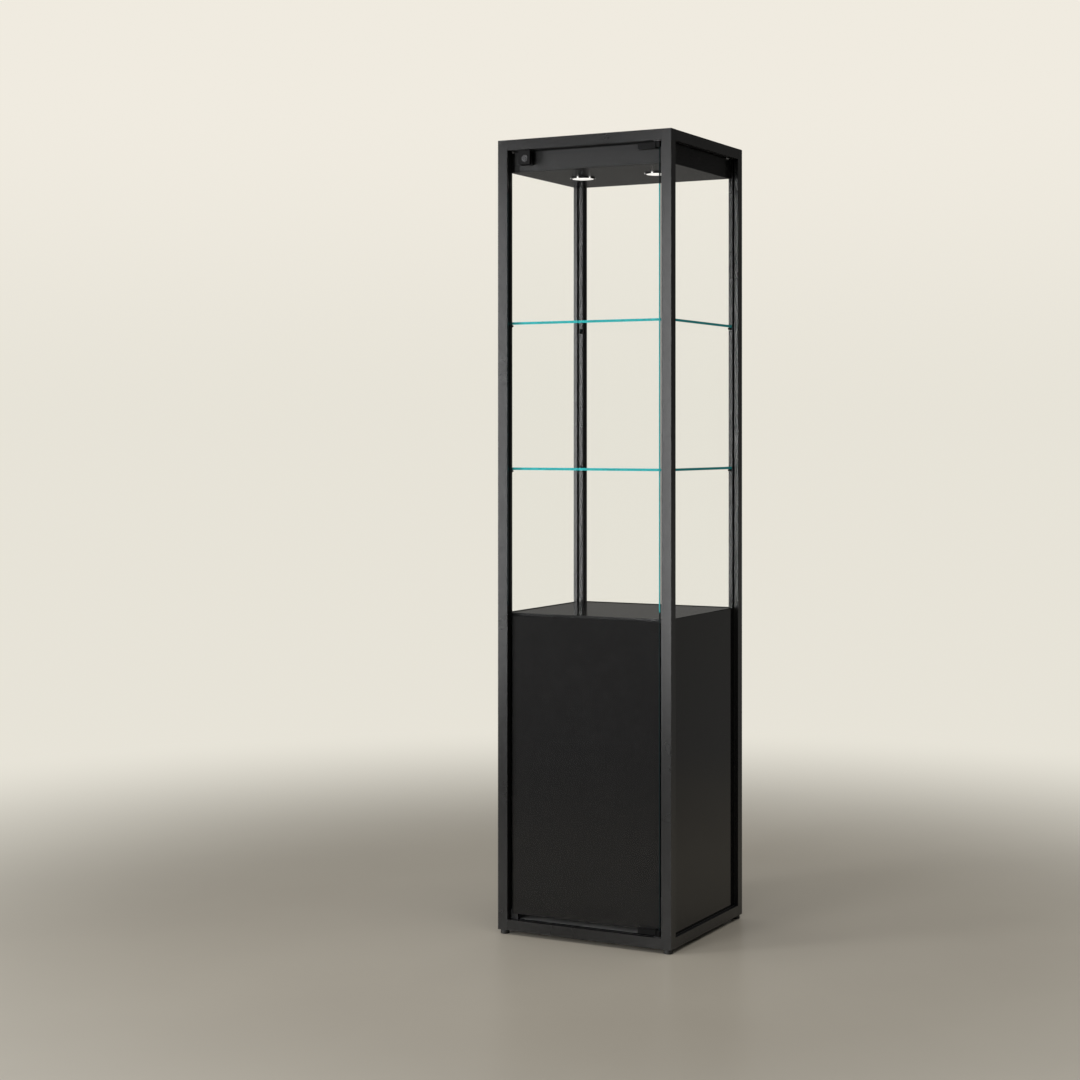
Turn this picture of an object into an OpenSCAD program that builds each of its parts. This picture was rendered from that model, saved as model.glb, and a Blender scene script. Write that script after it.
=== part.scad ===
// Glass display cabinet: a square-profile aluminium frame on four levelling feet, glazed above a
// closed black base, with two glass shelves, a lit canopy and one full-height glass door.
// The door hangs on two pivots at the right and locks at its top left corner.
// Origin: on the floor, under the middle of the cabinet. The front faces -Y and up is +Z.

/* [Frame] */
// Width of the frame, left to right
frame_w = 450; // [420:1:520]
// Depth of the frame, front to back
frame_d = 420; // [380:1:520]
// Height of the frame, without the feet
frame_h = 1870; // [1700:1:2000]
// Side of the square aluminium profile
profile = 25; // [24:0.5:30]
// Height of a levelling foot when it is screwed right in
foot_h = 10; // [8:0.5:14]

/* [Levels above the bottom of the frame] */
// Top of the deck that closes the base
deck_level = 750; // [600:1:850]
// Top of the lower glass shelf
lower_shelf_level = 1095; // [1000:1:1150]
// Top of the upper glass shelf
upper_shelf_level = 1440; // [1350:1:1500]
// Depth of the lit canopy, down from the top of the frame
canopy_drop = 74; // [62:1:120]

/* [Boards and glass] */
// Thickness of the fixed panes, the lower panels and the door
glass_t = 5; // [4:0.5:5]
// Thickness of a glass shelf
shelf_t = 6; // [5:0.5:10]
// Thickness of the deck
deck_t = 16; // [12:1:18]
// Thickness of the top panel and of the base board
board_t = 6; // [4:0.5:6]

/* [Door] */
// Gap between the door and the left post
lock_side_gap = 5.5; // [4:0.5:8]
// Gap between the door and the right post
hinge_side_gap = 8; // [7:0.5:10]
// Gap between the door glass and the top and bottom rails
door_end_gap = 13; // [12:0.5:16]
// Height of the black area at the foot of the door, above the bottom of the frame
black_level = 743; // [600:1:840]

/* [Spotlights] */
// Diameter of a spotlight's white lens
lens_d = 53; // [40:1:60]
// Distance of each spotlight from the middle of the canopy
spot_x = 99; // [75:1:120]
// Distance of the spotlights behind the middle of the cabinet
spot_y = -12; // [-40:1:10]

/* [Hidden] */
$fn = 48;
eps = 0.01;
cut = 1;            // how far a cutter runs past the face that it opens

// Profile: a hollow square with a glazing groove in each of its two inward faces
groove_w = glass_t + 2;
groove_deep = 8;
wall = 1.5;
core_lo = wall - profile / 2;
core_hi = profile / 2 - groove_deep - wall;
core_side = core_hi - core_lo;
core_mid = (core_lo + core_hi) / 2;
pocket_side = profile - 2 * wall;

// Places of the four posts and of their inner faces
post_x = (frame_w - profile) / 2;
post_y = (frame_d - profile) / 2;
in_x = frame_w / 2 - profile;
in_y = frame_d / 2 - profile;
rail_top = profile;                  // top of the bottom rails
rail_under = frame_h - profile;      // underside of the top rails

// Corner connectors and caps
cap_t = 1.5;
leg_fit = 0.15;
leg_side = core_side - 2 * leg_fit;
leg_reach = 30;
block_h = core_hi + profile / 2 + 0.4;
cap_pin_r = 1.4;
cap_pin_at = 7;
cap_pin_l = 7.5;

// Levelling feet
foot_r = 10.5;
stem_r = 4;
stem_fit = 0.08;
stem_in = 14;
body_gap = 0.3;     // air between pieces that move past each other

// Glazing
seal_fit = 0.1;
seal_deep = groove_deep - 0.4;
bite = 6.2;         // how far a pane sits in its groove
panel_top = deck_level + 1;
pane_gap = 0.5;
panel_chamfer = 1.2;
side_clear = 1.5;

// Shelves and their studs
shelf_x = in_x + profile / 2 - glass_t / 2 - side_clear;
shelf_y = in_y - 1;
stud_r = 2.5;
stud_out = 10;
thread_r = 1.5;
thread_in = 5;
drill_r = 1.6;
stud_in = 8;        // from a post's middle to the studs on its face
stud_x = post_x - stud_in;
stud_drop = shelf_t + stud_r + body_gap;
shelf_levels = [lower_shelf_level, upper_shelf_level];

// Deck, brackets and screws
bracket_w = 8;
bracket_t = 2;
bracket_leg = 20;
bracket_screw = 13; // from the post's face to the screw up into the deck
head_r = 2.8;
head_h = 1.8;
screw_l = 9;

// Canopy
canopy_level = frame_h - canopy_drop;
tray_x = shelf_x;
neck_x = in_x - 1;
tray_step = rail_under - 3;
tray_front = -in_y + 7;
tray_rear = in_y - 13;
sheet_t = 1.5;
board_mid = profile / 2;
board_under = frame_h - board_mid - board_t / 2;
tray_top = board_under - 0.2;
board_grip = 6.5;   // how far a board reaches into the grooves
board_clear = 0.3;
flange = 14;
flange_screw_x = 150;
fascia_x = in_x - 6;
fascia_y = -in_y + 2;
fascia_t = 2;
fascia_top = rail_under - 3;
bezel_r = lens_d / 2 + 3;
bezel_t = 3;
sleeve_r = lens_d / 2 + 1;
lug_w = 4;
grommet_y = tray_rear - 32;
grommet_r = 9;
cable_r = 3.2;
wire_r = 1.5;
wire_z = canopy_level + 13;
bend_r = 5;
driver = [120, 42, 22];
driver_y = tray_rear - 88;
driver_lead_x = 50;

// Door: everything about the pivot axis and the plane of the glass
door_y = -post_y;
door_left = -in_x + lock_side_gap;
door_right = in_x - hinge_side_gap;
door_low = rail_top + door_end_gap;
door_high = rail_under - door_end_gap;
pivot_x = door_right - 5;
pin_r = 2;
pin_fit = 0.06;
pin_in = 8;         // how far a pin reaches into the pivot block, from the rail
clamp_half = 8;
clamp_l = 45;
clamp_low = door_low - 8.5;
clamp_h = 13.5;
block_half = 6;
block_l = 12;
pivot_block_h = 13.5;
slot_half = glass_t / 2 + 0.6;
pad_t = 0.55;
grub_r = 1.5;
bush_flange = 1;
bush_x = 9;
backing_t = 0.8;
clamp_right = door_right + 1;
clamp_left = clamp_right - clamp_l - 9;

// Lock
lock_x = -in_x + 44.5;
lock_w = 30;
lock_h = 33;
lock_high = rail_under - 2;
lock_low = lock_high - lock_h;
lock_front = door_y - 11.5;
lock_rear = door_y + 11;
lock_grub_x = 8;
barrel_x = lock_x + 1.5;
barrel_z = lock_low + 14;
barrel_r = 8;
barrel_l = 5.4;
plug_r = 4.5;
bolt_travel = 8;
crank = bolt_travel / 2;    // offset of the crank pin, across and down
crank_r = 1.2;
bolt_w = 18;
bolt_plate_t = 2.4;
bolt_plate_y = lock_front + 5.6;
bolt_tongue_t = 5;
bolt_bridge_z = door_high + 1;
bolt_bridge_t = 3;

// ---------- helpers ----------

module box(x, y, z) {
    translate([x[0], y[0], z[0]]) cube([x[1] - x[0], y[1] - y[0], z[1] - z[0]]);
}

module on_frame() {
    translate([0, 0, foot_h]) children();
}

// Puts a piece drawn for a left post at the side that sx names, -1 for left and 1 for right
module at_side(sx) {
    mirror([sx > 0 ? 1 : 0, 0, 0]) children();
}

module at_end(sy) {
    mirror([0, sy > 0 ? 1 : 0, 0]) children();
}

module at_top(sz) {
    translate([0, 0, sz > 0 ? frame_h : 0]) mirror([0, 0, sz > 0 ? 1 : 0]) children();
}

module at_post(sx, sy) {
    at_side(sx) at_end(sy) translate([-post_x, -post_y, 0]) children();
}

module y_rod(r, y) {
    translate([0, y[0], 0]) rotate([-90, 0, 0]) cylinder(r = r, h = y[1] - y[0]);
}

module x_rod(r, x) {
    translate([x[0], 0, 0]) rotate([0, 90, 0]) cylinder(r = r, h = x[1] - x[0]);
}

// A quarter turn of wire about the origin, in the XY plane, from the angle start
module wire_bend(start) {
    rotate(start) rotate_extrude(angle = 90) translate([bend_r, 0]) circle(r = wire_r);
}

// ---------- frame ----------

module profile_section() {
    far = profile / 2 - wall;
    web = groove_w / 2 + wall;
    difference() {
        square(profile, center = true);
        translate([core_lo, core_lo]) square(core_side);
        for (flip = [0, 1]) mirror([flip, -flip]) {
            translate([profile / 2 - groove_deep, -groove_w / 2]) square([groove_deep + cut, groove_w]);
            translate([core_hi + wall, core_lo]) square([far - core_hi - wall, -web - core_lo]);
        }
        translate([web, web]) square(far - web);
    }
}

// A window through both inward walls of a post for the arms of a corner connector
module arm_windows(z) {
    for (flip = [0, 1]) mirror([flip, -flip, 0])
        translate([0, core_lo, z]) cube([profile / 2 + cut, core_side, core_side]);
}

module post(sx, sy) {
    core_z = [core_lo + profile / 2, core_hi + profile / 2];
    pocket = [-pocket_side / 2, pocket_side / 2];
    pocket_deep = block_h + 0.1;
    bracket_hole = deck_level - deck_t - bracket_leg / 2;
    stud_holes = [lower_shelf_level - stud_drop, upper_shelf_level - stud_drop];
    on_frame() at_post(sx, sy) difference() {
        linear_extrude(frame_h - cap_t) profile_section();
        box(pocket, pocket, [-cut, pocket_deep]);
        box(pocket, pocket, [frame_h - pocket_deep, frame_h + cut]);
        arm_windows(core_z[0]);
        arm_windows(frame_h - core_z[1]);
        // Drilled holes for the shelf studs and for the deck bracket
        for (z = concat([bracket_hole], stud_holes)) translate([stud_in, 0, z])
            y_rod(drill_r, [core_hi + wall, profile / 2 + cut]);
    }
}

module rail_x(sy, sz) {
    on_frame() at_top(sz) at_end(sy) translate([-in_x, -post_y, profile / 2])
        rotate([90, 0, 90]) linear_extrude(2 * in_x) profile_section();
}

module rail_y(sx, sz) {
    on_frame() at_top(sz) at_side(sx) translate([-post_x, in_y, profile / 2])
        rotate([90, 0, 0]) linear_extrude(2 * in_y) profile_section();
}

// A three-way casting: its block fills the end of the post, one leg runs on into the post and two
// run into the rails. The lower ones are tapped for the feet, the upper ones hold the caps' pins.
module connector(tapped) {
    leg = [core_mid - leg_side / 2, core_mid + leg_side / 2];
    leg_z = [leg[0] + profile / 2, leg[1] + profile / 2];
    half = pocket_side / 2 - leg_fit;
    floor_z = tapped ? 0.1 : cap_t + 0.1;
    difference() {
        union() {
            box([-half, half], [-half, half], [floor_z, block_h - 0.1]);
            box(leg, leg, [block_h - 1, block_h + leg_reach]);
            box([0, profile / 2 + leg_reach], leg, leg_z);
            box(leg, [0, profile / 2 + leg_reach], leg_z);
        }
        if (tapped) translate([0, 0, -cut]) cylinder(r = stem_r + stem_fit, h = stem_in + 1 + cut);
        else cap_pins(cap_pin_r + 0.1, cap_pin_l + 1.5);
    }
}

module cap_pins(r, l) {
    for (s = [-1, 1]) translate([s * cap_pin_at, s * cap_pin_at, eps]) cylinder(r = r, h = l);
}

module corner_connectors_bottom() {
    color("silver") on_frame() for (sx = [-1, 1], sy = [-1, 1]) at_post(sx, sy) connector(true);
}

module corner_connectors_top() {
    color("silver") on_frame() at_top(1) for (sx = [-1, 1], sy = [-1, 1]) at_post(sx, sy) connector(false);
}

module post_caps() {
    color("#1c1c1d") on_frame() at_top(1) for (sx = [-1, 1], sy = [-1, 1]) at_post(sx, sy) {
        translate([-profile / 2, -profile / 2, 0]) cube([profile, profile, cap_t - 0.02]);
        cap_pins(cap_pin_r, cap_pin_l);
    }
}

// ---------- feet ----------

module foot_pad(sx, sy) {
    color("#101010") at_post(sx, sy) difference() {
        union() {
            cylinder(r1 = foot_r - 0.8, r2 = foot_r, h = 1);
            translate([0, 0, 1]) cylinder(r = foot_r, h = foot_h - body_gap - 1);
        }
        translate([0, 0, 2]) cylinder(r = stem_r + 0.05, h = foot_h);
    }
}

module foot_stem(sx, sy) {
    color("silver") at_post(sx, sy) {
        translate([0, 0, 2.1]) cylinder(r = stem_r, h = foot_h - 2.1 + stem_in - 1);
        translate([0, 0, foot_h + stem_in - 1 - eps]) cylinder(r1 = stem_r, r2 = stem_r - 1, h = 1);
    }
}

// ---------- boards ----------

// A board whose edges sit in the grooves of four rails, cut away at the corners for the posts
module grooved_board() {
    x = [in_x + board_grip, in_x - board_clear];
    y = [in_y - board_clear, in_y + board_grip];
    for (i = [0, 1]) box([-x[i], x[i]], [-y[i], y[i]], [0, board_t]);
}

// Thick between the rails and level with their tops, with its edges cut down to fit the grooves
module base_board() {
    low = board_mid - board_t / 2;
    x = in_x - board_clear;
    y = in_y - board_clear;
    color("#2b2b2c") on_frame() {
        translate([0, 0, low]) grooved_board();
        box([-x, x], [-y, y], [low + eps, rail_top]);
    }
}

module top_screw_places() {
    for (x = [-1, 0, 1] * flange_screw_x, y = [tray_front + flange / 2, tray_rear - flange / 2])
        translate([x, y, 0]) children();
}

module top_panel() {
    color("#2b2b2c") on_frame() difference() {
        translate([0, 0, board_under]) grooved_board();
        translate([0, grommet_y, board_under - cut]) cylinder(r = grommet_r - 1.5, h = board_t + 2 * cut);
        top_screw_places() translate([0, 0, board_under - cut])
            cylinder(r = drill_r, h = board_t + 2 * cut);
    }
}

module bracket_places() {
    for (sx = [-1, 1], sy = [-1, 1]) at_side(sx) at_end(sy)
        translate([-stud_x, -in_y, deck_level - deck_t]) children();
}

module deck() {
    color("#3a3a3b") on_frame() difference() {
        box([-shelf_x, shelf_x], [-shelf_y, post_y - glass_t / 2 - 1], [deck_level - deck_t, deck_level]);
        // Room for the rear posts
        for (sx = [-1, 1]) at_side(sx)
            box([-frame_w, -in_x + 0.5], [in_y - 0.5, frame_d], [deck_level - frame_d, deck_level + cut]);
        bracket_places() translate([0, bracket_screw, -cut]) cylinder(r = drill_r, h = cut + screw_l - 1.5);
    }
}

module deck_brackets() {
    color("silver") on_frame() bracket_places() difference() {
        union() {
            box([-bracket_w / 2, bracket_w / 2], [0.05, bracket_t], [-bracket_leg, -0.05]);
            box([-bracket_w / 2, bracket_w / 2], [0.05, bracket_leg], [-bracket_t, -0.05]);
        }
        translate([0, 0, -bracket_leg / 2]) y_rod(drill_r, [-cut, bracket_t + cut]);
        translate([0, bracket_screw, -bracket_t - cut]) cylinder(r = drill_r, h = bracket_t + 2 * cut);
    }
}

module screw(l) {
    cylinder(r = thread_r, h = l);
    translate([0, 0, -head_h]) cylinder(r = head_r, h = head_h + eps);
}

// Pan-head screws: two at each deck bracket and six down through the top panel into the tray
module fixing_screws() {
    color("#202020") on_frame() {
        bracket_places() {
            translate([0, bracket_t + 0.05, -bracket_leg / 2]) rotate([90, 0, 0]) screw(screw_l - 3);
            translate([0, bracket_screw, -bracket_t - 0.05]) screw(screw_l);
        }
        top_screw_places() translate([0, 0, board_under + board_t + 0.05])
            rotate([180, 0, 0]) screw(screw_l);
    }
}

// ---------- glazing ----------

// Half of the space that the glass takes in its own plane, for a side pane or for the rear pane
function pane_half(across) = across + bite;

module side_glass_plane(sx) {
    on_frame() at_side(sx) translate([-post_x, 0, 0]) rotate([90, 0, 90]) children();
}

module rear_glass_plane() {
    on_frame() translate([0, post_y, 0]) rotate([90, 0, 0]) children();
}

// In a pane's own plane: X runs across, Y runs up and Z is the thickness
module pane_blank(across) {
    translate([-pane_half(across), panel_top + pane_gap, -glass_t / 2])
        cube([2 * pane_half(across), rail_under + bite - panel_top - pane_gap, glass_t]);
}

module panel_blank(across) {
    low = rail_top - bite;
    translate([-pane_half(across), 0, 0]) rotate([90, 0, 90]) linear_extrude(2 * pane_half(across)) polygon([
        [low, -glass_t / 2], [low, glass_t / 2], [panel_top, glass_t / 2],
        [panel_top, panel_chamfer - glass_t / 2], [panel_top - panel_chamfer, -glass_t / 2],
    ]);
}

module seal_blank(across) {
    half = across + seal_deep;
    slot = pane_half(across) + seal_fit;
    thick = groove_w / 2 - seal_fit;
    slit = (glass_t + seal_fit) / 2;
    difference() {
        box([-half, half], [rail_top - seal_deep, rail_under + seal_deep], [-thick, thick]);
        box([-across, across], [rail_top, rail_under], [-groove_w, groove_w]);
        box([-slot, slot], [rail_top - bite - seal_fit, rail_under + bite + seal_fit], [-slit, slit]);
    }
}

module side_pane(sx) { color("#cfe6e2", 0.3) side_glass_plane(sx) pane_blank(in_y); }
module side_panel(sx) { color("#161617") side_glass_plane(sx) panel_blank(in_y); }
module side_gasket(sx) { color("#0c0c0c") side_glass_plane(sx) seal_blank(in_y); }
module pane_rear() { color("#cfe6e2", 0.3) rear_glass_plane() pane_blank(in_x); }
module lower_panel_rear() { color("#161617") rear_glass_plane() panel_blank(in_x); }
module gasket_rear() { color("#0c0c0c") rear_glass_plane() seal_blank(in_x); }

// ---------- shelves ----------

module shelf(level) {
    color("#6fd0cc", 0.5) on_frame()
        box([-shelf_x, shelf_x], [-shelf_y, shelf_y], [level - shelf_t, level]);
}

module shelf_studs() {
    color("#101010") on_frame() for (level = shelf_levels, sx = [-1, 1], sy = [-1, 1])
        at_side(sx) at_end(sy) translate([-stud_x, -in_y, level - stud_drop]) {
            y_rod(stud_r, [0.02, stud_out]);
            y_rod(thread_r, [-thread_in, 0.1]);
        }
}

// ---------- canopy and lighting ----------

module spot_places() {
    for (s = [-1, 1]) translate([s * spot_x, spot_y, canopy_level]) children();
}

// A folded pan, as wide as the glass allows below the top rails and narrower between them
module canopy_tray() {
    y = [tray_front, tray_rear];
    y_in = [tray_front + sheet_t, tray_rear - sheet_t];
    color("#2b2b2c") on_frame() difference() {
        union() {
            box([-tray_x, tray_x], y, [canopy_level, tray_step]);
            box([-neck_x, neck_x], y, [tray_step - eps, tray_top]);
        }
        box([sheet_t - tray_x, tray_x - sheet_t], y_in, [canopy_level + sheet_t, tray_step - sheet_t]);
        box([sheet_t - neck_x, neck_x - sheet_t], y_in, [canopy_level + sheet_t + eps, tray_top - sheet_t]);
        box([flange - neck_x, neck_x - flange], [tray_front + flange, tray_rear - flange],
            [tray_top - 2 * sheet_t, tray_top + cut]);
        spot_places() translate([0, 0, -cut]) cylinder(r = sleeve_r + 0.2, h = sheet_t + 2 * cut);
        top_screw_places() translate([0, 0, tray_top - 2 * sheet_t]) cylinder(r = drill_r, h = 3 * sheet_t);
    }
}

module canopy_fascia() {
    color("#2b2b2c") on_frame() {
        box([-fascia_x, fascia_x], [fascia_y, fascia_y + fascia_t], [canopy_level, fascia_top]);
        box([-fascia_x, fascia_x], [fascia_y, tray_front - 0.05], [canopy_level, canopy_level + sheet_t]);
    }
}

// Six places round a spotlight's rim, where its lens has lugs
module lug_places() {
    for (i = [0 : 5]) rotate(30 + 60 * i) translate([lens_d / 2, 0, 0]) children();
}

module spot_bezels() {
    color("#151515") on_frame() spot_places() difference() {
        rotate_extrude() polygon([
            [lens_d / 2 + 0.1, -bezel_t], [bezel_r - 1, -bezel_t], [bezel_r, -bezel_t + 1],
            [bezel_r, -0.05], [sleeve_r, -0.05], [sleeve_r, 8], [lens_d / 2 + 0.1, 8],
        ]);
        lug_places() box([-1, 5], [-lug_w / 2 - 0.2, lug_w / 2 + 0.2], [-bezel_t - cut, -0.05]);
    }
}

module spot_lenses() {
    low = -bezel_t + 0.3;
    color("white") on_frame() spot_places() {
        translate([0, 0, low]) cylinder(r1 = lens_d / 2 - 0.6, r2 = lens_d / 2, h = 0.6);
        translate([0, 0, low + 0.6 - eps]) cylinder(r = lens_d / 2, h = 2);
        lug_places() box([-1, bezel_r - lens_d / 2 + 0.3], [-lug_w / 2, lug_w / 2], [low + 0.6, -0.15]);
    }
}

module spot_housings() {
    color("silver") on_frame() spot_places() {
        cylinder(r = lens_d / 2 - 0.5, h = 6);
        translate([0, 0, 6 - eps]) cylinder(r = lens_d / 2 - 8, h = 12);
        for (i = [0 : 2]) translate([0, 0, 8 + 4 * i]) cylinder(r = lens_d / 2 - 3, h = 2);
    }
}

// Two bent strips a spotlight, which press down on the tray beside the hole
module spot_springs() {
    color("gainsboro") on_frame() spot_places() for (turn = [0, 180]) rotate(turn)
        translate([sleeve_r + 0.1, -5, 0]) rotate([90, 0, 0]) mirror([0, 0, 1]) linear_extrude(10) polygon([
            [0, 4], [0.6, 4], [0.6, 7], [9, 1.9], [10, 1.9], [10, 2.5], [0.9, 8.2], [0, 8.2],
        ]);
}

module led_driver() {
    color("#e8e8e6") on_frame() translate([0, driver_y, canopy_level + sheet_t + 0.1]) {
        translate([-driver[0] / 2, 0, 0]) cube(driver);
        for (s = [-1, 1]) translate([s * (driver[0] / 2 + 4), driver[1] / 2, 0]) cylinder(r = 4.5, h = 2);
    }
}

// The lead to the left spotlight: out of the driver, across and forward to the lamp
module spot_lead() {
    start = driver_y - 0.1;
    turn_y = start - 12;
    translate([-driver_lead_x, 0, 0]) y_rod(wire_r, [turn_y + bend_r, start]);
    translate([-driver_lead_x - bend_r, turn_y + bend_r, 0]) wire_bend(-90);
    translate([0, turn_y, 0]) x_rod(wire_r, [-spot_x + bend_r, -driver_lead_x - bend_r]);
    translate([-spot_x + bend_r, turn_y - bend_r, 0]) wire_bend(90);
    translate([-spot_x, 0, 0]) y_rod(wire_r, [spot_y + lens_d / 2 - 2.9, turn_y - bend_r]);
}

// The supply lead: out of the driver's rear and up to the hole in the top panel
module supply_lead() {
    y_rod(wire_r, [driver_y + driver[1] + 0.1, grommet_y - bend_r]);
    translate([0, grommet_y - bend_r, bend_r]) rotate([90, 0, 90]) wire_bend(-90);
    translate([0, grommet_y, bend_r]) cylinder(r = wire_r, h = board_under - 4 - wire_z - bend_r);
}

module led_wires() {
    color("#181818") on_frame() translate([0, 0, wire_z]) {
        for (sx = [-1, 1]) at_side(sx) spot_lead();
        supply_lead();
    }
}

// A flanged rubber ring in the top panel, where the supply lead goes in
module cable_grommet() {
    lip = 1.6;
    neck_r = grommet_r - 1.7;
    under = -0.1;
    over = board_t + 0.1;
    color("#101010") on_frame() translate([0, grommet_y, board_under]) rotate_extrude() polygon([
        [cable_r, -lip], [grommet_r, -lip], [grommet_r, under], [neck_r, under],
        [neck_r, over], [grommet_r, over], [grommet_r, board_t + lip], [cable_r, board_t + lip],
    ]);
}

// ---------- door ----------

module door_stop() {
    front = door_y + glass_t / 2 + backing_t + 0.4;
    color("#050505") on_frame()
        box([-in_x + 0.5, -in_x + 20], [front, -in_y - 0.5], [rail_top + 0.05, rail_top + 22]);
}

module door_glass() {
    color("#cfe6e2", 0.3) on_frame()
        box([door_left, door_right], [door_y - glass_t / 2, door_y + glass_t / 2], [door_low, door_high]);
}

module door_backing() {
    rear = door_y + glass_t / 2;
    color("#0d0d0e") on_frame() difference() {
        box([door_left, door_right], [rear + 0.02, rear + backing_t], [door_low, black_level]);
        box([clamp_left - 1, frame_w], [rear - cut, rear + cut], [0, clamp_low + clamp_h + 1]);
    }
}

// The lower pivot's clamp, drawn about the pivot axis; the upper one is its mirror image
module pivot_clamp() {
    left = clamp_left - pivot_x;
    right = clamp_right - pivot_x;
    top = clamp_low + clamp_h;
    block_low = rail_top + bush_flange + body_gap;
    difference() {
        union() {
            box([left, left + clamp_l], [-clamp_half, clamp_half], [clamp_low, top]);
            box([right - block_l, right], [-block_half, block_half],
                [block_low, block_low + pivot_block_h]);
        }
        box([left - cut, right + cut], [-slot_half, slot_half], [door_low - 0.3, top + cut]);
        grub_places() y_rod(grub_r + 0.05, [0, clamp_half + cut]);
        translate([0, 0, rail_top]) cylinder(r = pin_r + 0.02, h = pin_in + 0.5);
    }
}

module grub_places() {
    for (i = [0.25, 0.75]) translate([clamp_left - pivot_x + i * clamp_l, 0, door_low + 2.5]) children();
}

module both_pivots() {
    on_frame() for (sz = [-1, 1]) at_top(sz) translate([pivot_x, door_y, 0]) children();
}

module pivot_clamps() { color("#141414") both_pivots() pivot_clamp(); }

module pivot_pins() {
    low = rail_top - groove_deep + 1;
    color("silver") both_pivots() translate([0, 0, low]) cylinder(r = pin_r, h = rail_top + pin_in - low);
}

module pivot_bushes() {
    half = groove_w / 2 - 0.05;
    color("#202020") both_pivots() difference() {
        union() {
            box([-bush_x, bush_x], [-half, half], [rail_top - groove_deep + 0.1, rail_top + 0.1]);
            box([-bush_x, bush_x], [-block_half, block_half], [rail_top + 0.02, rail_top + bush_flange]);
        }
        translate([0, 0, rail_top - groove_deep + 0.6])
            cylinder(r = pin_r + pin_fit, h = groove_deep + cut);
    }
}

// Thin rubber between the glass and each clamp's two cheeks, and behind the glass in the lock
module door_pads() {
    left = clamp_left - pivot_x;
    near = glass_t / 2 + 0.02;
    lock_half = lock_w / 2 - 1;
    color("#101010") {
        both_pivots() for (side = [0, 1]) mirror([0, side, 0])
            box([left + 1, left + clamp_l - 4], [near, near + pad_t],
                [door_low + 0.1, clamp_low + clamp_h - 0.5]);
        on_frame() translate([lock_x, door_y, 0])
            box([-lock_half, lock_half], [near, near + pad_t], [lock_low + 1, door_high - 1]);
    }
}

module lock_grub_places() {
    for (s = [-1, 1]) translate([lock_x + s * lock_grub_x, door_y, lock_low + 8]) children();
}

// Socket set screws that press the pads on the glass
module grub_screw(y) {
    difference() {
        y_rod(grub_r, y);
        y_rod(1, [y[1] - 2, y[1] + cut], $fn = 6);
    }
}

module door_grub_screws() {
    start = slot_half + 0.02;
    color("#303030") {
        both_pivots() grub_places() grub_screw([start, clamp_half - 0.4]);
        on_frame() lock_grub_places() grub_screw([start, lock_rear - door_y - 0.4]);
    }
}

// ---------- lock ----------

module lock_housing() {
    half = lock_w / 2;
    way_half = bolt_w / 2 + 0.5;
    way_x = [barrel_x - way_half, barrel_x + way_half];
    way_front = bolt_plate_y - 0.5;
    color("#1a1a1a") on_frame() difference() {
        box([lock_x - half, lock_x + half], [lock_front, lock_rear], [lock_low, lock_high]);
        // Slot for the glass
        box([lock_x - half - cut, lock_x + half + cut], [door_y - slot_half, door_y + slot_half],
            [lock_low - cut, door_high + 0.3]);
        // Way for the bolt, open at the top
        box(way_x, [way_front, door_y - slot_half + cut], [lock_low + 3, lock_high + cut]);
        box(way_x, [way_front, door_y + bolt_tongue_t / 2 + 0.5], [door_high - eps, lock_high + cut]);
        translate([barrel_x, 0, barrel_z]) y_rod(barrel_r + 0.08, [lock_front - cut, bolt_plate_y]);
        lock_grub_places() y_rod(grub_r + 0.05, [0, lock_rear - door_y + cut]);
    }
}

// The key barrel turns a quarter turn, and its crank pin lifts the bolt
module lock_barrel() {
    front = lock_front - 0.6;
    color("#8d8d90") on_frame() translate([barrel_x, 0, barrel_z]) difference() {
        union() {
            y_rod(barrel_r, [front, front + barrel_l]);
            translate([-crank, 0, -crank])
                y_rod(crank_r, [front + barrel_l - 0.1, bolt_plate_y + bolt_plate_t + 0.3]);
        }
        difference() {
            y_rod(plug_r + 1, [front - cut, front + 0.5]);
            y_rod(plug_r, [front - 2 * cut, front + 2 * cut]);
        }
        box([-0.6, 0.6], [front - cut, front + 4], [-3, 3]);    // keyway
    }
}

module lock_bolt() {
    half = bolt_w / 2;
    plate = [bolt_plate_y, bolt_plate_y + bolt_plate_t];
    tongue = [door_y - bolt_tongue_t / 2, door_y + bolt_tongue_t / 2];
    slot_r = crank_r + 0.3;
    color("silver") on_frame() translate([barrel_x, 0, 0]) difference() {
        union() {
            box([-half, half], plate, [lock_low + 5, bolt_bridge_z + bolt_bridge_t]);
            box([-half, half], [plate[0], tongue[1]], [bolt_bridge_z, bolt_bridge_z + bolt_bridge_t]);
            box([-half, half], tongue, [bolt_bridge_z, lock_high - 0.2]);
        }
        // Level slot for the crank pin, which swings from below the barrel's axis out to its side
        box([-crank - 3.4, -crank + 1.5], [plate[0] - cut, plate[1] + cut],
            [barrel_z - crank - slot_r, barrel_z - crank + slot_r]);
    }
}

// ---------- assembly ----------

color("#3b3b3d") post(-1, -1);  // post_front_left
color("#3b3b3d") post(1, -1);  // post_front_right
color("#3b3b3d") post(-1, 1);  // post_rear_left
color("#3b3b3d") post(1, 1);  // post_rear_right
color("#353537") rail_x(-1, -1);  // bottom_rail_front
color("#353537") rail_x(1, -1);  // bottom_rail_rear
color("#353537") rail_y(-1, -1);  // bottom_rail_left
color("#353537") rail_y(1, -1);  // bottom_rail_right
color("#353537") rail_x(-1, 1);  // top_rail_front
color("#353537") rail_x(1, 1);  // top_rail_rear
color("#353537") rail_y(-1, 1);  // top_rail_left
color("#353537") rail_y(1, 1);  // top_rail_right
corner_connectors_bottom();
corner_connectors_top();
post_caps();
foot_pad(-1, -1);  // foot_pad_front_left
foot_pad(1, -1);  // foot_pad_front_right
foot_pad(-1, 1);  // foot_pad_rear_left
foot_pad(1, 1);  // foot_pad_rear_right
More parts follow.
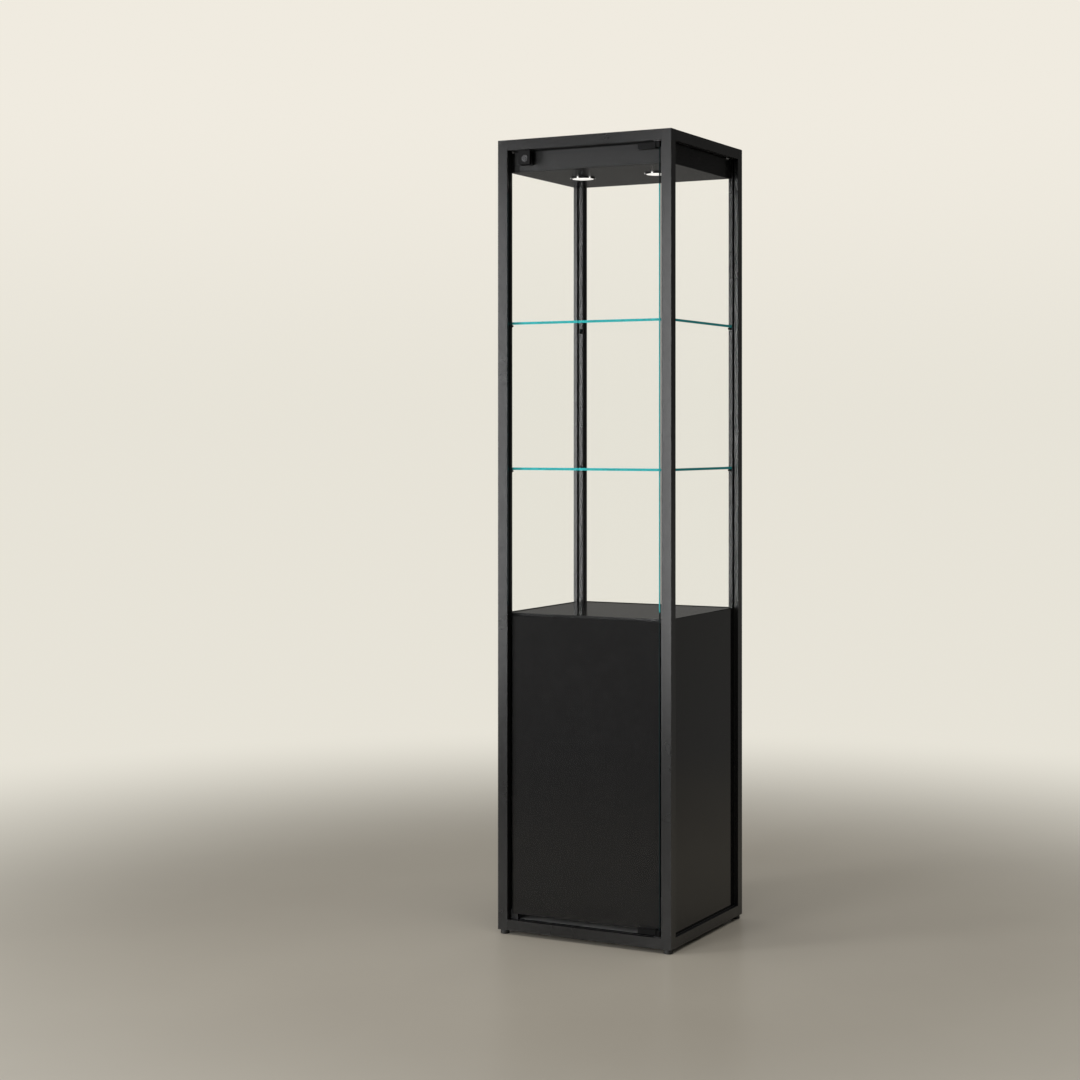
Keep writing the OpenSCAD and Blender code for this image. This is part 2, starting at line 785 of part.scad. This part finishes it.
foot_stem(-1, -1);  // foot_stem_front_left
foot_stem(1, -1);  // foot_stem_front_right
foot_stem(-1, 1);  // foot_stem_rear_left
foot_stem(1, 1);  // foot_stem_rear_right
base_board();
deck();
top_panel();
deck_brackets();
fixing_screws();
side_pane(-1);  // pane_left
side_pane(1);  // pane_right
pane_rear();
side_panel(-1);  // lower_panel_left
side_panel(1);  // lower_panel_right
lower_panel_rear();
side_gasket(-1);  // gasket_left
side_gasket(1);  // gasket_right
gasket_rear();
shelf(upper_shelf_level);  // shelf_upper
shelf(lower_shelf_level);  // shelf_lower
shelf_studs();
canopy_tray();
canopy_fascia();
spot_bezels();
spot_lenses();
spot_housings();
spot_springs();
led_driver();
led_wires();
cable_grommet();
door_stop();
door_glass();
door_backing();
pivot_clamps();
pivot_pins();
pivot_bushes();
door_pads();
door_grub_screws();
lock_housing();
lock_barrel();
lock_bolt();
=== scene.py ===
"""Looks, light and camera for the glass display cabinet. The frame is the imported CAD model, in metres."""

import math
import bpy
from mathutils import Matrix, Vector


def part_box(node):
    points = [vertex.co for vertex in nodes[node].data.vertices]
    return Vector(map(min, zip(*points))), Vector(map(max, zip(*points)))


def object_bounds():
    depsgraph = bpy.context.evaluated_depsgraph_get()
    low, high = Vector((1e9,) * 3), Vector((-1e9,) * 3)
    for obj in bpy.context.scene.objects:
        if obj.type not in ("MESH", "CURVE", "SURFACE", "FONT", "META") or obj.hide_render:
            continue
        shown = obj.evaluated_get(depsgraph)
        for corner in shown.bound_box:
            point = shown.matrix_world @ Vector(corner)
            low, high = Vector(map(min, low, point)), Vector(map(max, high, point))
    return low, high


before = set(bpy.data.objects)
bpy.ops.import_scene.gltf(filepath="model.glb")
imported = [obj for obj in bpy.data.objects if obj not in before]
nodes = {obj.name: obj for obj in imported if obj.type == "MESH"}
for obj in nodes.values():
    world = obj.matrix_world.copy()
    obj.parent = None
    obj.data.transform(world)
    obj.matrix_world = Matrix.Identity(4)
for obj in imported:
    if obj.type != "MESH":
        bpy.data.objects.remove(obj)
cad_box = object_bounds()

scene = bpy.context.scene

# ---------- places taken from the frame ----------

FLOOR_Z = cad_box[0].z
PANEL_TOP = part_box("lower_panel_right")[1].z
CANOPY_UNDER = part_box("canopy_tray")[0].z
DOOR_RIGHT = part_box("door_glass")[1].x

LIT_FROM = PANEL_TOP + 0.016         # painted light: the door's edge is painted green only between these two levels, and in the painted shade colour above and below them
LIT_TO = CANOPY_UNDER - 0.05
# painted image: past this place across the door's width, the face is painted with the edge's green and glow
EDGE_PAINTED_FROM = DOOR_RIGHT - 0.0018

# The wall that the camera sees, at eye level and higher up
WALL_LOW = (0.80, 0.77, 0.685)
WALL_HIGH = (0.87, 0.83, 0.745)

# What lights the pieces and mirrors in them: ahead of the cabinet, behind it, to its right and above
ROOM_FRONT = (0.15, 0.15, 0.147)
ROOM_BACK = (0.17, 0.165, 0.155)
ROOM_RIGHT = (0.035, 0.035, 0.034)
ROOM_ABOVE = (0.62, 0.61, 0.58)


# ---------- small helpers for node materials ----------


def shade(colour, amount):
    return tuple(amount * c for c in colour)


class Nodes:
    """A material's node tree, with one method per kind of node that the finishes use."""

    def __init__(self, name, world=False):
        self.owner = (bpy.data.worlds if world else bpy.data.materials).new(name)
        self.owner.use_nodes = True
        self.tree = self.owner.node_tree
        self.tree.nodes.clear()
        self.out = self.tree.nodes.new("ShaderNodeOutput" + ("World" if world else "Material"))
        self.coords = self.tree.nodes.new("ShaderNodeTexCoord")

    def add(self, kind, **inputs):
        """A node of that kind. An input is a value or an output to link; underscores stand for spaces."""
        n = self.tree.nodes.new("ShaderNode" + kind)
        for key, value in inputs.items():
            self.set(n.inputs[key.replace("_", " ")], value)
        return n

    def set(self, socket, value):
        if isinstance(value, bpy.types.NodeSocket):
            self.tree.links.new(value, socket)
        elif isinstance(value, tuple) and len(value) == 3 and socket.type == "RGBA":
            socket.default_value = (*value, 1.0)
        else:
            socket.default_value = value

    def object_place(self, stretch=(1, 1, 1)):
        n = self.add("Mapping", Vector=self.coords.outputs["Object"])
        n.inputs["Scale"].default_value = stretch
        return n.outputs["Vector"]

    def noise(self, scale, detail=3.0, roughness=0.5, stretch=(1, 1, 1)):
        place = self.object_place(stretch)
        n = self.add("TexNoise", Vector=place, Scale=scale, Detail=detail, Roughness=roughness)
        return n.outputs["Fac"]

    def remap(self, value, lo, hi, a=0.0, b=1.0, smooth=False):
        n = self.add("MapRange", Value=value)
        n.interpolation_type = "SMOOTHSTEP" if smooth else "LINEAR"
        for key, v in (("From Min", lo), ("From Max", hi), ("To Min", a), ("To Max", b)):
            self.set(n.inputs[key], v)
        return n.outputs["Result"]

    def math(self, op, a, b=0.0):
        n = self.tree.nodes.new("ShaderNodeMath")
        n.operation = op
        self.set(n.inputs[0], a)
        self.set(n.inputs[1], b)
        return n.outputs["Value"]

    def blend(self, factor, a, b):
        n = self.tree.nodes.new("ShaderNodeMix")
        n.data_type = "RGBA"
        self.set(n.inputs["Factor"], factor)
        self.set(n.inputs[6], (*a, 1.0) if isinstance(a, tuple) else a)
        self.set(n.inputs[7], (*b, 1.0) if isinstance(b, tuple) else b)
        return n.outputs[2]

    def bump(self, height, strength, distance):
        return self.add("Bump", Height=height, Strength=strength, Distance=distance).outputs["Normal"]

    def mix_shader(self, factor, a, b):
        n = self.tree.nodes.new("ShaderNodeMixShader")
        self.set(n.inputs[0], factor)
        self.set(n.inputs[1], a)
        self.set(n.inputs[2], b)
        return n.outputs["Shader"]

    def principled(self, **inputs):
        return self.add("BsdfPrincipled", **inputs).outputs["BSDF"]

    def axis(self, source, axis):
        n = self.add("SeparateXYZ", Vector=source)
        return n.outputs[axis]

    def finish(self, surface):
        self.tree.links.new(surface, self.out.inputs["Surface"])
        return self.owner


def dress(material, *names):
    """Gives a material to CAD nodes."""
    for name in names:
        data = nodes[name].data
        data.materials.clear()
        data.materials.append(material)


def soften(width, *names):
    """Breaks the sharp edges of CAD nodes with a small round."""
    for name in names:
        weld = nodes[name].modifiers.new("weld", "WELD")
        weld.merge_threshold = 1e-6
        bevel = nodes[name].modifiers.new("edge", "BEVEL")
        bevel.width = width
        bevel.segments = 2
        bevel.limit_method = "ANGLE"
        bevel.angle_limit = math.radians(40)
        bevel.harden_normals = True


# ---------- finishes ----------


def powder_coat(name, dark, light, rough=0.4, grain=0.35, specular=0.5):
    """Satin powder coat: a fine pebbled skin, with faint cloudiness in its colour and its gloss."""
    m = Nodes(name)
    cloud = m.noise(6, 4, 0.6)
    pebble = m.noise(1400, 2, 0.6)
    colour = m.blend(m.remap(cloud, 0.35, 0.65), dark, light)
    roughness = m.remap(m.noise(220, 3), 0.3, 0.7, rough - 0.04, rough + 0.05)
    return m.finish(m.principled(Base_Color=colour, Roughness=roughness, Normal=m.bump(pebble, grain, 0.00006),
                                 Specular_IOR_Level=specular))


def gloss_black(name, colour, rough=0.03, specular=0.5):
    """Polished black: nearly a mirror, with slow waviness and a trace of dust and wiping marks."""
    m = Nodes(name)
    wave = m.bump(m.noise(3.5, 1), 0.25, 0.0006)
    wipe = m.noise(28, 5, 0.65, stretch=(1, 1, 0.25))
    roughness = m.remap(wipe, 0.4, 0.75, rough, rough + 0.05)
    tint = m.blend(m.remap(m.noise(90, 4), 0.45, 0.75), colour, shade(colour, 1.35))
    return m.finish(m.principled(Base_Color=tint, Roughness=roughness, Normal=wave,
                                 Specular_IOR_Level=specular))


def plastic(name, colour, rough, grain=0.3):
    """Moulded plastic or rubber with a fine spark-eroded texture."""
    m = Nodes(name)
    speck = m.noise(900, 3, 0.6)
    tint = m.blend(m.remap(m.noise(40, 3), 0.35, 0.65), shade(colour, 0.85), shade(colour, 1.15))
    roughness = m.remap(speck, 0.3, 0.7, rough - 0.05, rough + 0.08)
    return m.finish(m.principled(Base_Color=tint, Roughness=roughness, Normal=m.bump(speck, grain, 0.00008)))


def metal(name, colour, rough, stretch=(1, 1, 1), scale=300, grain=0.2):
    """Bare or plated metal. Its brush lines run along the axis that stretch shortens."""
    m = Nodes(name)
    lines = m.noise(scale, 4, 0.6, stretch=stretch)
    tint = m.blend(m.remap(m.noise(60, 3), 0.3, 0.7), shade(colour, 0.85), colour)
    roughness = m.remap(lines, 0.3, 0.7, rough - 0.06, rough + 0.1)
    return m.finish(m.principled(Base_Color=tint, Metallic=1.0, Roughness=roughness,
                                 Normal=m.bump(lines, grain, 0.00005)))


def laminate(name, colour, rough=0.42):
    """Decor board with a very fine pore."""
    m = Nodes(name)
    pore = m.noise(700, 3, 0.7, stretch=(0.35, 1, 1))
    tint = m.blend(m.remap(m.noise(9, 5, 0.6), 0.35, 0.65), shade(colour, 0.85), shade(colour, 1.15))
    roughness = m.remap(pore, 0.3, 0.7, rough - 0.04, rough + 0.06)
    return m.finish(m.principled(Base_Color=tint, Roughness=roughness, Normal=m.bump(pore, 0.2, 0.00005),
                                 Specular_IOR_Level=0.3))


def glass(name, through, edge, mirror=1.2, lit=None, edge_painted_from=None):
    """Clear sheet glass. Its faces let light through and mirror a little of the room; its polished edges
    show the green of the whole sheet, or a painted shade colour where they sit out of the light, with a
    painted glow added. through is the axis across the sheet's thickness, mirror the refraction that sets how
    much the faces mirror, and lit the lowest and highest levels between which the edges are painted lit;
    outside them the edges are painted in the shade colour. Beyond the place given by the last argument, across
    the width, the face is painted with the edge's colour and glow, a painted image of the edge that lies
    behind it."""
    m = Nodes(name)
    normal = m.axis(m.coords.outputs["Normal"], through)
    is_face = m.remap(m.math("ABSOLUTE", normal), 0.75, 0.9)
    # painted image: past the given place across the width, the face is shaded as edge, with its colour and
    # glow, standing in for the edge seen through the glass
    if edge_painted_from is not None:
        across = m.axis(m.coords.outputs["Object"], "X")
        is_face = m.math("MULTIPLY", is_face, m.remap(across, edge_painted_from, edge_painted_from - 0.0002))
    from_inside = m.add("NewGeometry").outputs["Backfacing"]
    fresnel = m.add("Fresnel", IOR=m.remap(from_inside, 0.0, 1.0, mirror, 1 / mirror)).outputs["Fac"]
    film = m.remap(m.noise(14, 5, 0.6), 0.35, 0.8, 0.0, 0.02)
    pass_on = m.add("BsdfTransparent", Color=CLEAR).outputs["BSDF"]
    gloss = m.add("BsdfGlossy", Color=(1, 1, 1), Roughness=film).outputs["BSDF"]
    face = m.mix_shader(m.math("MINIMUM", fresnel, MIRROR_MOST), pass_on, gloss)
    streak = m.remap(m.noise(160, 4, 0.6), 0.3, 0.7)
    colour = m.blend(streak, shade(edge, 0.8), shade(edge, 1.15))
    # painted light and shade: the edge keeps its colour only between the two lit levels and takes the painted
    # shade colour outside them
    if lit is not None:
        height = m.axis(m.coords.outputs["Object"], "Z")
        above = m.remap(height, lit[0] - 0.002, lit[0] + 0.002)
        below = m.remap(height, lit[1] + 0.002, lit[1] - 0.002)
        colour = m.blend(m.math("MULTIPLY", above, below), PAINTED_SHADE_EDGE, colour)
    # painted glow: the edge emits its own colour, standing in for light carried through the sheet
    rim = m.principled(Base_Color=colour, Roughness=0.12, Specular_IOR_Level=0.14,
                       Emission_Color=colour, Emission_Strength=PAINTED_EDGE_GLOW)
    rim = m.mix_shader(from_inside, rim, pass_on)
    return m.finish(m.mix_shader(is_face, rim, face))


def lamp_lens():
    """An opal disc lit from behind, its glow varying with a moulded ring pattern."""
    m = Nodes("lamp_lens")
    rings = m.add("TexWave", Vector=m.object_place(), Scale=900.0, Distortion=0.4)
    rings.wave_type = "RINGS"
    glow = m.remap(rings.outputs["Fac"], 0.0, 1.0, 0.65, 0.95)
    return m.finish(m.principled(Base_Color=(0.9, 0.9, 0.88), Roughness=0.35,
                                 Emission_Color=(1.0, 0.975, 0.93), Emission_Strength=glow))


CLEAR = (0.997, 0.999, 0.998)        # what a face lets through
EDGE = (0.024, 0.27, 0.28)           # green that a sheet gathers along its polished edge
PAINTED_SHADE_EDGE = (0.006, 0.012, 0.013)  # painted shade: the dark colour painted on an edge that sits in a dark groove
PAINTED_EDGE_GLOW = 0.15                     # painted glow: emission on the edges, standing in for light that the sheet itself brings to them
MIRROR_MOST = 0.005                  # the most that a face mirrors, however flat the view

CORNERS = ("front_left", "front_right", "rear_left", "rear_right")
POSTS = [f"post_{corner}" for corner in CORNERS]
RAILS = [f"{level}_rail_{side}" for level in ("bottom", "top") for side in ("front", "rear", "left", "right")]

dress(powder_coat("black_powder_coat", (0.011, 0.011, 0.0112), (0.014, 0.014, 0.0142), rough=0.2, grain=0.12,
                  specular=0.4),
      *POSTS, *RAILS)
dress(plastic("black_plastic", (0.013, 0.013, 0.0132), 0.45), "post_caps", "pivot_bushes")
dress(metal("cast_zinc", (0.55, 0.56, 0.57), 0.45, scale=150, grain=0.5),
      "corner_connectors_bottom", "corner_connectors_top")
dress(plastic("foot_plastic", (0.014, 0.014, 0.014), 0.55), *[f"foot_pad_{corner}" for corner in CORNERS])
dress(metal("zinc_steel", (0.62, 0.63, 0.64), 0.3, stretch=(1, 1, 0.1)),
      *[f"foot_stem_{corner}" for corner in CORNERS], "deck_brackets", "lock_bolt")
dress(metal("polished_steel", (0.75, 0.76, 0.77), 0.16), "pivot_pins", "spot_springs")
dress(laminate("grey_laminate", (0.30, 0.30, 0.295)), "base_board")
dress(laminate("black_laminate", (0.03, 0.03, 0.0305)), "top_panel")
dress(laminate("gloss_laminate", (0.010, 0.010, 0.0102), rough=0.16), "deck")
dress(metal("black_steel", (0.06, 0.06, 0.062), 0.38), "fixing_screws", "door_grub_screws")
dress(glass("door_glass", "Y", EDGE, lit=(LIT_FROM, LIT_TO), edge_painted_from=EDGE_PAINTED_FROM), "door_glass")
# painted shade: the side and rear panes' edges are painted in the dark shade colour all over
dress(glass("side_glass", "X", PAINTED_SHADE_EDGE, mirror=1.12), "pane_left", "pane_right")
dress(glass("rear_glass", "Y", PAINTED_SHADE_EDGE, mirror=1.12), "pane_rear")
dress(glass("shelf_glass", "Z", EDGE, mirror=1.3), "shelf_upper", "shelf_lower")
dress(gloss_black("black_gloss_glass", (0.005, 0.005, 0.0052), specular=0.3),
      "lower_panel_left", "lower_panel_right", "lower_panel_rear")
dress(gloss_black("black_backing", (0.009, 0.009, 0.0092), rough=0.06, specular=0.24), "door_backing")
dress(plastic("black_rubber", (0.010, 0.010, 0.010), 0.65, 0.5),
      "gasket_left", "gasket_right", "gasket_rear", "door_pads", "door_stop", "cable_grommet")
dress(powder_coat("black_hardware", (0.004, 0.004, 0.0042), (0.0052, 0.0052, 0.0054), rough=0.5, grain=0.2,
                  specular=0.06),
      "shelf_studs", "pivot_clamps", "lock_housing")
dress(powder_coat("canopy_sheet", (0.009, 0.009, 0.0092), (0.011, 0.011, 0.0112), rough=0.5, specular=0.2),
      "canopy_fascia", "spot_bezels")
dress(powder_coat("canopy_gloss", (0.0075, 0.0075, 0.0077), (0.0095, 0.0095, 0.0097), rough=0.22,
                  specular=0.08),
      "canopy_tray")
dress(lamp_lens(), "spot_lenses")
dress(metal("heat_sink", (0.6, 0.6, 0.6), 0.4, scale=120), "spot_housings")
dress(plastic("driver_case", (0.62, 0.62, 0.6), 0.4), "led_driver")
dress(plastic("wire_sheath", (0.02, 0.02, 0.02), 0.5), "led_wires")
dress(metal("key_barrel", (0.05, 0.05, 0.051), 0.28), "lock_barrel")

soften(0.0006, *POSTS, *RAILS)
soften(0.0005, "post_caps", "deck", "canopy_tray", "canopy_fascia", "pivot_clamps", "lock_housing",
       "door_stop")


# ---------- floor, light and camera ----------

MIDDLE = 1.20                        # the height at which the posts mirror the middle of a soft panel
PANEL_SIZE = (0.7, 1.9)
PANEL_SPREAD = 60                    # degrees; keeps the panels' light off the floor
FADE_FROM, FADE_TO = 0.8, 3.4        # radii between which the floor runs out into the wall


def studio_switch(m, seen, felt):
    """A colour that is one value where the camera looks at it and another where it lights the pieces."""
    return m.blend(m.add("LightPath").outputs["Is Camera Ray"], felt, seen)


def make_world():
    """The camera sees a plain wall; the pieces see a room that is lit from above and dim to the right."""
    m = Nodes("studio", world=True)
    toward = m.coords.outputs["Generated"]
    x, y, z = (m.axis(toward, axis) for axis in "XYZ")
    wall = m.blend(m.remap(z, 0.0, 0.16, smooth=True), WALL_LOW, WALL_HIGH)
    room = m.blend(m.remap(y, -0.6, 0.5, smooth=True), ROOM_FRONT, ROOM_BACK)
    room = m.blend(m.remap(x, 0.05, 0.6, smooth=True), room, ROOM_RIGHT)
    room = m.blend(m.remap(z, 0.45, 0.75, smooth=True), room, ROOM_ABOVE)
    scene.world = m.finish(m.add("Background", Color=studio_switch(m, wall, room)).outputs["Background"])


def make_floor():
    """A pale floor that runs out softly into the background."""
    bpy.ops.mesh.primitive_plane_add(size=60, location=(0, 0, FLOOR_Z))
    floor = bpy.context.object
    floor.name = "studio_floor"
    m = Nodes("studio_floor")
    place = m.add("NewGeometry").outputs["Position"]
    x, y = m.axis(place, "X"), m.axis(place, "Y")
    radius = m.math("SQRT", m.math("ADD", m.math("MULTIPLY", x, x), m.math("MULTIPLY", y, y)))
    tone = m.blend(m.remap(m.noise(1.2, 4), 0.35, 0.65), (0.50, 0.46, 0.395), (0.53, 0.49, 0.42))
    near = m.principled(Base_Color=tone, Roughness=0.28, Specular_IOR_Level=0.4)
    far = m.add("Emission", Color=studio_switch(m, WALL_LOW, ROOM_BACK)).outputs["Emission"]
    fade = m.remap(radius, FADE_FROM, FADE_TO, smooth=True)
    floor.data.materials.append(m.finish(m.mix_shader(fade, near, far)))


def soft_light(name, place, target, size, watts, spread=180, colour=(1, 1, 1)):
    """A rectangular light that faces its target and isn't seen by the camera itself."""
    data = bpy.data.lights.new(name, "AREA")
    data.shape = "RECTANGLE"
    data.size, data.size_y = size
    data.energy = watts
    data.spread = math.radians(spread)
    data.color = colour
    light = bpy.data.objects.new(name, data)
    scene.collection.objects.link(light)
    light.location = place
    aim = [t - p for t, p in zip(target, place)]
    light.rotation_euler = Vector(aim).to_track_quat("-Z", "Y").to_euler()
    light.visible_camera = False


def make_camera():
    """Level, at the height of the display space, with its frame shifted down on the cabinet."""
    data = bpy.data.cameras.new("camera")
    data.sensor_width = 36.0
    data.lens = 69.75
    data.shift_y = -0.0964
    camera = bpy.data.objects.new("camera", data)
    scene.collection.objects.link(camera)
    camera.location = (2.191, -4.5476, 1.18)
    camera.rotation_euler = (math.radians(90), 0, math.radians(27.967))
    scene.camera = camera


make_world()
make_floor()
soft_light("left_panel", (-2.10, -2.415, MIDDLE), (0, 0, MIDDLE), PANEL_SIZE, 10.5, PANEL_SPREAD)
soft_light("front_panel", (-0.58, -3.15, MIDDLE), (0, 0, MIDDLE), PANEL_SIZE, 8.7, PANEL_SPREAD)
soft_light("overhead", (0.3, -1.0, 3.6), (0, 0, 0.4), (3.0, 3.0), 32, colour=(1.0, 0.98, 0.94))
make_camera()
scene.view_settings.view_transform = "Standard"
